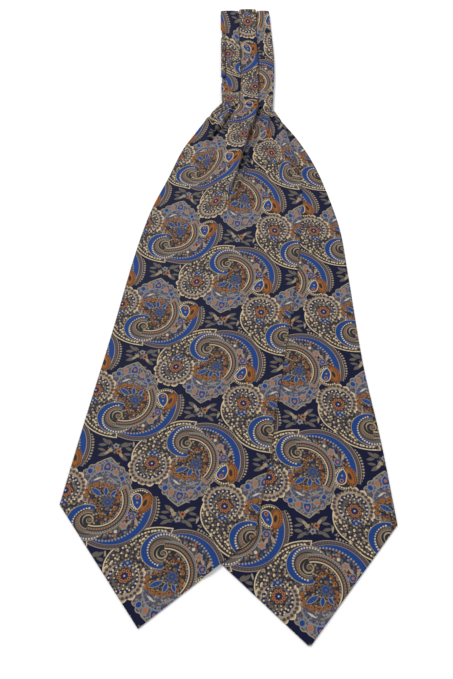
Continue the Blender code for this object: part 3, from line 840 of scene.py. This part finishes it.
# Crests of the creases. Columns: y, x, rise.
LEFT_PLEAT = (
    (170.6, 11.3, 1.6),
    (160.7, 7.9, 2.0),
    (147.9, 1.9, 2.6),
    (137.1, -3.4, 2.8),
    (129.3, -9.2, 2.0),
    (119.8, -14.8, 0.7),
    (112.0, -18.0, 0.0),
)
MAIN_PLEAT = (
    (166.5, 29.2, 2.2),
    (145.6, 24.5, 3.6),
    (130.6, 19.6, 4.6),
    (113.0, 15.7, 4.6),
    (94.5, 11.0, 4.0),
    (76.0, 5.8, 2.9),
    (56.5, 0.2, 1.5),
    (36.0, -4.6, 0.0),
)
SIDE_CREASE = (
    (163.2, -15.4, 0.0),
    (155.3, -14.0, 1.6),
    (141.6, -11.1, 1.9),
    (131.8, -8.9, 0.8),
    (121.9, -7.0, 0.0),
)
RIGHT_CREASE = (
    (163.0, 40.0, 0.6),
    (150.2, 38.9, 1.3),
    (136.4, 37.6, 0.9),
    (117.8, 35.6, 0.0),
)

# Columns: the crest, its gentle side (1 is right), mm over which that side runs out, mm in which
# the other side drops.
CREASES = (
    (LEFT_PLEAT, 1, 9.0, 0.7),
    (MAIN_PLEAT, -1, 13.0, 0.6),
    (SIDE_CREASE, 1, 5.0, 0.7),
    (RIGHT_CREASE, -1, 6.0, 0.9),
)

# Where a crest drops, the cloth dips into a hollow and rises again to a bank. For each: its share
# of the crest's rise, its distance from the crest and its half width.
HOLLOW = 1.1
HOLLOW_MIDDLE = 2.1
HOLLOW_WIDTH = 1.6
BANK = 0.75
BANK_MIDDLE = 5.6
BANK_WIDTH = 1.9

# Folds that fan out of the neck. Columns: mm right of the axis at the neck, mm sideways for each
# mm down, rise, half width, how far down it runs out.
GATHERS = (
    (-19.0, -0.62, 0.8, 1.7, 46.0),
    (-13.0, -0.44, 0.7, 1.9, 70.0),
    (-5.5, -0.16, 0.6, 2.4, 92.0),
    (15.5, 0.30, 0.7, 1.8, 74.0),
    (20.0, 0.62, 0.7, 1.5, 52.0),
)

# Where each begins, over how many mm it rises, from what share of its length it runs out, and its
# widening for each mm down.
GATHER_START = 2.0
GATHER_RISE = 10.0
GATHER_FULL = 0.3
GATHER_WIDENS = 0.04


def outside_under(x, y):
    """How far a place is outside the under blade's left edge or its point, in mm."""
    right, along = to_blade(UNDER_TIP, UNDER_LEAN, x, y)
    corner, reach = UNDER_OUTLINE[0][0], UNDER_OUTLINE[0][1]
    beside = -right - read_table(UNDER_OUTLINE, along, 1)
    half = math.atan2(reach, corner)
    below = np.abs(right) * math.cos(half) - along * math.sin(half)
    return np.maximum(beside, below)


def upper_bottom(x, y):
    """The upper blade's underside: over the under blade, then down to the surface."""
    down = ease((outside_under(x, y) - BRIDGE_FLAT) / BRIDGE_SLOPE)
    return (under_top(x, y) + GAP) * (1 - down)


def crease_relief(x, y):
    """The height that the creases add at a place, with the hollow and the bank beside each."""
    total = np.zeros_like(x)
    for table, high_side, run_out, drop in CREASES:
        rise = read_table(table, y, 2)
        distance = high_side * (x - read_table(table, y, 1))
        slow = np.exp(-np.maximum(distance, 0) / run_out)
        steep = np.exp(-((np.minimum(distance, 0) / drop) ** 2))
        hollow = np.exp(-(((distance + HOLLOW_MIDDLE) / HOLLOW_WIDTH) ** 2))
        bank = np.exp(-(((distance + BANK_MIDDLE) / BANK_WIDTH) ** 2))
        total += rise * (slow * steep - HOLLOW * hollow + BANK * bank)
    return total


def gathers(x, y):
    """Shallow folds that fan out of the neck and run out within a hand's width, all uneven."""
    right, along = to_blade(UPPER_TIP, UPPER_LEAN, x, y)
    total = np.zeros_like(x)
    for start, spread, rise, width, end in GATHERS:
        below = np.maximum(UPPER_NECK - along, 0)
        distance = right - start - spread * below
        running_out = ease((below - GATHER_FULL * end) / ((1 - GATHER_FULL) * end))
        height = rise * ease((below - GATHER_START) / GATHER_RISE) * (1 - running_out)
        total += height * np.exp(-((distance / (width + GATHER_WIDENS * below)) ** 2))
    return total


def upper_top(x, y):
    along = to_blade(UPPER_TIP, UPPER_LEAN, x, y)[1]
    gathered = ease((along - NECK_LAYERS_FROM) / (UPPER_NECK - NECK_LAYERS_FROM))
    wall = BLADE_WALL + NECK_LAYERS * gathered + crease_relief(x, y) + gathers(x, y)
    return upper_bottom(x, y) + np.maximum(wall, THINNEST_WALL)


def upper_place(u, v, inset):
    return blade_point(UPPER_TIP, UPPER_LEAN, UPPER_NECK, UPPER_OUTLINE, u, v, inset)


# How the print lies on the blade, whose pleats take up more and more cloth towards the neck.
# Columns: mm from the tip, then for the cloth left of, in and right of the middle pleat, first
# the mm that it is moved across and then the mm that it is moved up.
UPPER_DRIFT = (
    (30.4, 0.2, 0.2, -0.1, 0.6, 0.6, 0.6),
    (98.9, -0.8, -0.5, -0.7, 1.3, 1.3, 1.7),
    (163.5, -2.2, -1.1, -1.3, 2.6, 1.9, 2.7),
    (243.0, -3.9, -2.8, -2.9, 5.0, 3.0, 2.6),
    (297.6, -4.3, -4.1, -3.4, 3.4, 2.4, 1.4),
    (331.4, -5.4, -4.2, -2.7, 1.6, 0.1, 0.5),
    (355.2, -7.9, -4.6, 0.5, 0.8, -0.4, -1.2),
    (396.5, -15.6, -10.1, 12.4, 3.5, 0.2, -4.0),
    (417.8, -20.7, -14.2, 20.2, 4.2, 0.8, -4.8),
    (435.2, -26.3, -17.7, 26.2, 4.8, 1.3, -5.2),
    (467.0, -41.0, -20.0, 40.0, 6.0, 6.0, -4.0),
)

# The print's rows slope all over the blade, and more so near the neck on its left side.
# Columns: mm from the tip, slope.
WEFT_SKEW = 0.061
LEFT_SLOPE = (
    (250.0, 0.0),
    (300.0, 0.04),
    (350.0, 0.14),
    (400.0, 0.22),
    (440.0, 0.25),
    (470.0, 0.12),
)

# Near the neck the cloth of the right side is pushed together. It begins at the first place along
# the blade and ends at the second place across, each over so many mm.
RIGHT_PUSH = 9.0
RIGHT_PUSH_ALONG = (385.0, 20.0)
RIGHT_PUSH_ACROSS = (38.0, 20.0)

# Where each pleat's cloth, coming out of the band, has changed to the blade's: y and mm of change.
# The right one's also ends beside its crease.
LEFT_CHANGE = (150.0, 18.0)
MIDDLE_CHANGE = (117.0, 26.0)
RIGHT_CHANGE = (80.0, 26.0)
PAST_CREASE = 0.3

# The width over which two stretches of cloth run together: its mm near the neck, how many more it
# gets, below which place and over how many mm.
RIGHT_BLUR = (0.8, 26.0, 152.0, 50.0)
MAIN_BLUR = (0.5, 34.0, 394.0, 90.0)
LEFT_BLUR = (0.5, 24.0, 424.0, 26.0)

# The print on each pleat of the band, from the fold down into the blade.
# Columns: y, mm up the flat cloth, mm across it where x is 0.
UPPER_PRINT_UP = -32.4
LEFT_CLOTH = (
    (304.1, 612.0, -60.0),
    (279.4, 596.9, -64.1),
    (239.9, 572.9, -72.1),
    (204.0, 534.0, -71.0),
    (189.5, 515.9, -70.4),
    (177.6, 491.9, -73.6),
    (159.8, 478.0, -68.0),
)
MIDDLE_CLOTH = (
    (303.1, 612.0, -36.4),
    (287.3, 599.4, -37.1),
    (252.3, 575.2, -39.4),
    (192.4, 518.4, -43.0),
    (171.5, 494.2, -41.4),
    (129.0, 437.4, -31.4),
    (115.2, 423.0, -27.0),
)
RIGHT_CLOTH = (
    (304.1, 606.0, -7.0),
    (290.1, 597.1, -7.8),
    (253.2, 572.9, -11.2),
    (170.6, 491.9, -9.7),
    (140.0, 450.0, 0.0),
    (109.9, 410.9, 2.0),
    (87.3, 388.0, 7.0),
)


def passed(place, start, length):
    """0 up to the start, and 1 from a length beyond it."""
    return ease((place - start) / length)


def blur(place, narrow, wider, start, length):
    """The width over which two stretches of cloth run together, at a place below the neck."""
    return narrow + wider * ease((start - place) / length)


def upper_printed(x, y):
    """The upper blade's place on the flat cloth, which each pleat takes a part of."""
    right, along = to_blade(UPPER_TIP, UPPER_LEAN, x, y)
    across = [right + read_table(UPPER_DRIFT, along, n) for n in (1, 2, 3)]
    up = [along + read_table(UPPER_DRIFT, along, n + 4) - WEFT_SKEW * across[n] for n in range(3)]
    up[0] += read_table(LEFT_SLOPE, along, 1) * (right + read_table(UPPER_OUTLINE, along, 1))
    pushed = passed(along, *RIGHT_PUSH_ALONG) * (1 - passed(x, *RIGHT_PUSH_ACROSS))
    across[2] -= RIGHT_PUSH * pushed

    # The cloth of the pleats comes out of the band and settles lower down.
    beside_crease = (read_table(RIGHT_CREASE, y, 1) - x) / blur(y, *RIGHT_BLUR)
    pleats = (
        (LEFT_CLOTH, passed(y, *LEFT_CHANGE)),
        (MIDDLE_CLOTH, passed(y, *MIDDLE_CHANGE)),
        (RIGHT_CLOTH, passed(y, *RIGHT_CHANGE) * ease(beside_crease + PAST_CREASE)),
    )
    for n, (cloth, share) in enumerate(pleats):
        across[n] += (x + read_table(cloth, y, 2) - across[n]) * share
        up[n] += (read_table(cloth, y, 1) - up[n]) * share

    # Each pleat's edge parts two stretches of cloth near the neck; lower down they run together.
    past_left = ease((x - read_table(LEFT_PLEAT, y, 1)) / blur(along, *LEFT_BLUR) + 0.5)
    past_main = ease((x - read_table(MAIN_PLEAT, y, 1)) / blur(along, *MAIN_BLUR) + 0.5)
    printed = []
    for left, middle, far in (across, up):
        printed.append(left + (middle - left) * past_left + (far - middle) * past_main)
    return printed[0] + PRINT_RIGHT, printed[1] + UPPER_PRINT_UP


# Rows and columns of points. The columns stand closer towards the middle, where the main crease
# runs, so that its edge is one clean line.
UPPER_GRID = (255, 171)
UPPER_ROWS_CLOSER = 1.45
UPPER_COLUMNS_CLOSER = 1.25


def upper_columns():
    even = np.linspace(-1, 1, UPPER_GRID[1])
    return np.sign(even) * np.abs(even) ** UPPER_COLUMNS_CLOSER


blade_upper = silk_shell(
    "blade_upper_silk", upper_place, upper_top, upper_bottom,
    np.linspace(0, 1, UPPER_GRID[0]) ** UPPER_ROWS_CLOSER, upper_columns(), FOLDED_EDGE,
    upper_printed,
)
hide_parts("blade_upper")


# The pleats of the upper band. The neck's silk is laid in three lengthwise pleats and a narrow
# tuck, pressed, and caught where the band begins. At the fold they turn down round the under half.

# The side pleats end a little short of the fold. The nose is the last few mm of a pleat, where it
# rounds over the fold.
SIDE_FOLD_Y = 308.8
NOSE_LENGTH = 6.0
NOSE_EDGE = 0.9
NOSE_ROUNDNESS = 2.6

# Columns: y, x of the tuck's right edge.
TUCK = (
    (266.0, -2.2),
    (235.4, -1.7),
    (208.6, -1.3),
)

# How far past the tuck's ends the left pleat stays drawn in, and over how many mm it goes back.
# Then the strips' heights, and the crown that is added along the middle of each.
TUCK_POCKET = 5.5
TUCK_END = 6.0
TUCK_HEIGHT = 4.7
SIDE_HEIGHT = 5.3
MIDDLE_HEIGHT = 6.3
STRIP_CROWN = 0.6

# Rows and columns of points. The rows stand closer towards the fold.
PLEAT_GRID = (150, 40)
PLEAT_ROWS_CLOSER = 0.8
PLEAT_MIDDLE_Y = 200.0

# A pleat's pressed edge. Columns: inset from the outline, share of the height there.
PLEAT_EDGE = (
    (1.2, 1.0),
    (0.7, 0.97),
    (0.3, 0.87),
    (0.08, 0.73),
    (0.0, 0.5),
    (0.1, 0.25),
    (0.3, 0.09),
    (0.7, 0.0),
)
upper_start = neck_line(UPPER_TIP, UPPER_LEAN, UPPER_OUTLINE)


def strip_bottom(x, y):
    return np.where(y < FOLD_Y - NOSE_WALL, UNDER_NECK_HEIGHT + GAP, 0.0)


def band_edge(column, shift=0.0):
    return lambda y: read_table(BAND, y, column) + shift


def tuck_edge(y):
    return read_table(TUCK, y, 1) - GAP / 2


def left_strip_edge(y):
    """The band's left edge, drawn in beside the tuck."""
    low, high = TUCK[-1][0] - TUCK_POCKET, TUCK[0][0] + TUCK_POCKET
    beside = ease((y - low) / TUCK_END + 1) * ease((high - y) / TUCK_END + 1)
    outer = read_table(BAND, y, 1)
    return outer + (read_table(TUCK, y, 1) + GAP / 2 - outer) * beside


def pleat(name, left, right, height, start, end, cloth):
    """One pleat of the upper band, from start to end, between its left and right edges."""

    def place(u, v, inset):
        middle = start(0.5 * (left(PLEAT_MIDDLE_Y) + right(PLEAT_MIDDLE_Y)))
        y = middle + (end - middle) * (1 - v)
        x = left(y) + inset + (right(y) - left(y) - 2 * inset) * (u + 1) / 2
        return x, start(x) + inset + (end - start(x) - 2 * inset) * (1 - v)

    def top(x, y):
        across = (x - left(y)) / (right(y) - left(y))
        crown = STRIP_CROWN * (1 - (2 * across - 1) ** 2)
        into_nose = np.maximum(0.0, (y - end + NOSE_LENGTH) / NOSE_LENGTH)
        low = strip_bottom(x, np.full_like(y, end)) + NOSE_EDGE
        return low + (height + crown - low) * np.sqrt(
            np.maximum(0.0, 1 - into_nose**NOSE_ROUNDNESS)
        )

    def printed(x, y):
        across = x + read_table(cloth, y, 2) + PRINT_RIGHT
        return across, read_table(cloth, y, 1) + UPPER_PRINT_UP

    rows = 1 - np.linspace(0, 1, PLEAT_GRID[0]) ** PLEAT_ROWS_CLOSER
    piece = silk_shell(
        name + "_silk", place, top, strip_bottom, rows[::-1], np.linspace(-1, 1, PLEAT_GRID[1]),
        PLEAT_EDGE, printed,
    )
    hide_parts(name)
    return piece


band_pleat_left = pleat(
    "band_pleat_left", left_strip_edge, band_edge(2, -GAP / 2), SIDE_HEIGHT,
    upper_start, SIDE_FOLD_Y, LEFT_CLOTH,
)
band_pleat_middle = pleat(
    "band_pleat_middle", band_edge(2, GAP / 2), band_edge(3, -GAP / 2), MIDDLE_HEIGHT,
    upper_start, FOLD_Y, MIDDLE_CLOTH,
)
band_pleat_right = pleat(
    "band_pleat_right", band_edge(3, GAP / 2), band_edge(4), SIDE_HEIGHT,
    upper_start, SIDE_FOLD_Y, RIGHT_CLOTH,
)
band_tuck = pleat(
    "band_tuck", band_edge(1), tuck_edge, TUCK_HEIGHT,
    lambda x: TUCK[-1][0] + 0 * x, TUCK[0][0], LEFT_CLOTH,
)


# The surface. A plain white table, far wider than the view, so that only the silk's own soft
# shadow shows on it.
def floor_material():
    material = bpy.data.materials.new("matt_white_table")
    material.use_nodes = True
    tree = material.node_tree
    tree.nodes.clear()
    place = add(tree, "NewGeometry")[0]
    grain = add(tree, "TexNoise", place, None, 900.0, 3.0)[0]
    shade = add(tree, "MapRange", grain, 0.0, 1.0, 0.95, 0.98)[0]
    colour = add(tree, "CombineColor", shade, shade, shade)[0]
    surface = add(tree, "BsdfPrincipled", colour, 0.0, 0.7)[0]
    add(tree, "OutputMaterial", surface)
    return material


bpy.ops.mesh.primitive_plane_add(size=12.0, location=(0, 0, 0))
table = bpy.context.object
table.name = "table"
table.data.materials.append(floor_material())


# The light. A wide lamp high on the upper left, a weaker one opposite it, and an even white room.
def soft_lamp(name, location, size, power):
    """A round lamp that shines at the middle of the cravat."""
    lamp = bpy.data.lights.new(name, "AREA")
    lamp.shape = "DISK"
    lamp.size = size
    lamp.energy = power
    stand = bpy.data.objects.new(name, lamp)
    stand.location = location
    aim = mathutils.Vector((0, 0, 0)) - stand.location
    stand.rotation_euler = aim.to_track_quat("-Z", "Y").to_euler()
    bpy.context.scene.collection.objects.link(stand)


soft_lamp("key_lamp", (-0.45, 1.0, 1.6), 0.6, 20.0)
soft_lamp("fill_lamp", (1.2, -0.8, 1.6), 1.4, 4.0)
room = bpy.data.worlds.new("white_room")
room.use_nodes = True
room.node_tree.nodes["Background"].inputs["Color"].default_value = (1, 1, 1, 1)
room.node_tree.nodes["Background"].inputs["Strength"].default_value = 0.66
bpy.context.scene.world = room
bpy.context.scene.view_settings.view_transform = "Standard"


# The camera. It stands just beyond the points of the blades and looks down at 60 degrees. Its
# place and its lens come from how the repeats of the print shrink with distance.
lens = bpy.data.cameras.new("camera")
lens.lens = 40.28
lens.sensor_width = 36.0
camera = bpy.data.objects.new("camera", lens)
camera.location = (-0.00065, -0.3822, 0.5164)
camera.rotation_euler = (math.radians(30), 0, 0)
bpy.context.scene.collection.objects.link(camera)
bpy.context.scene.camera = camera
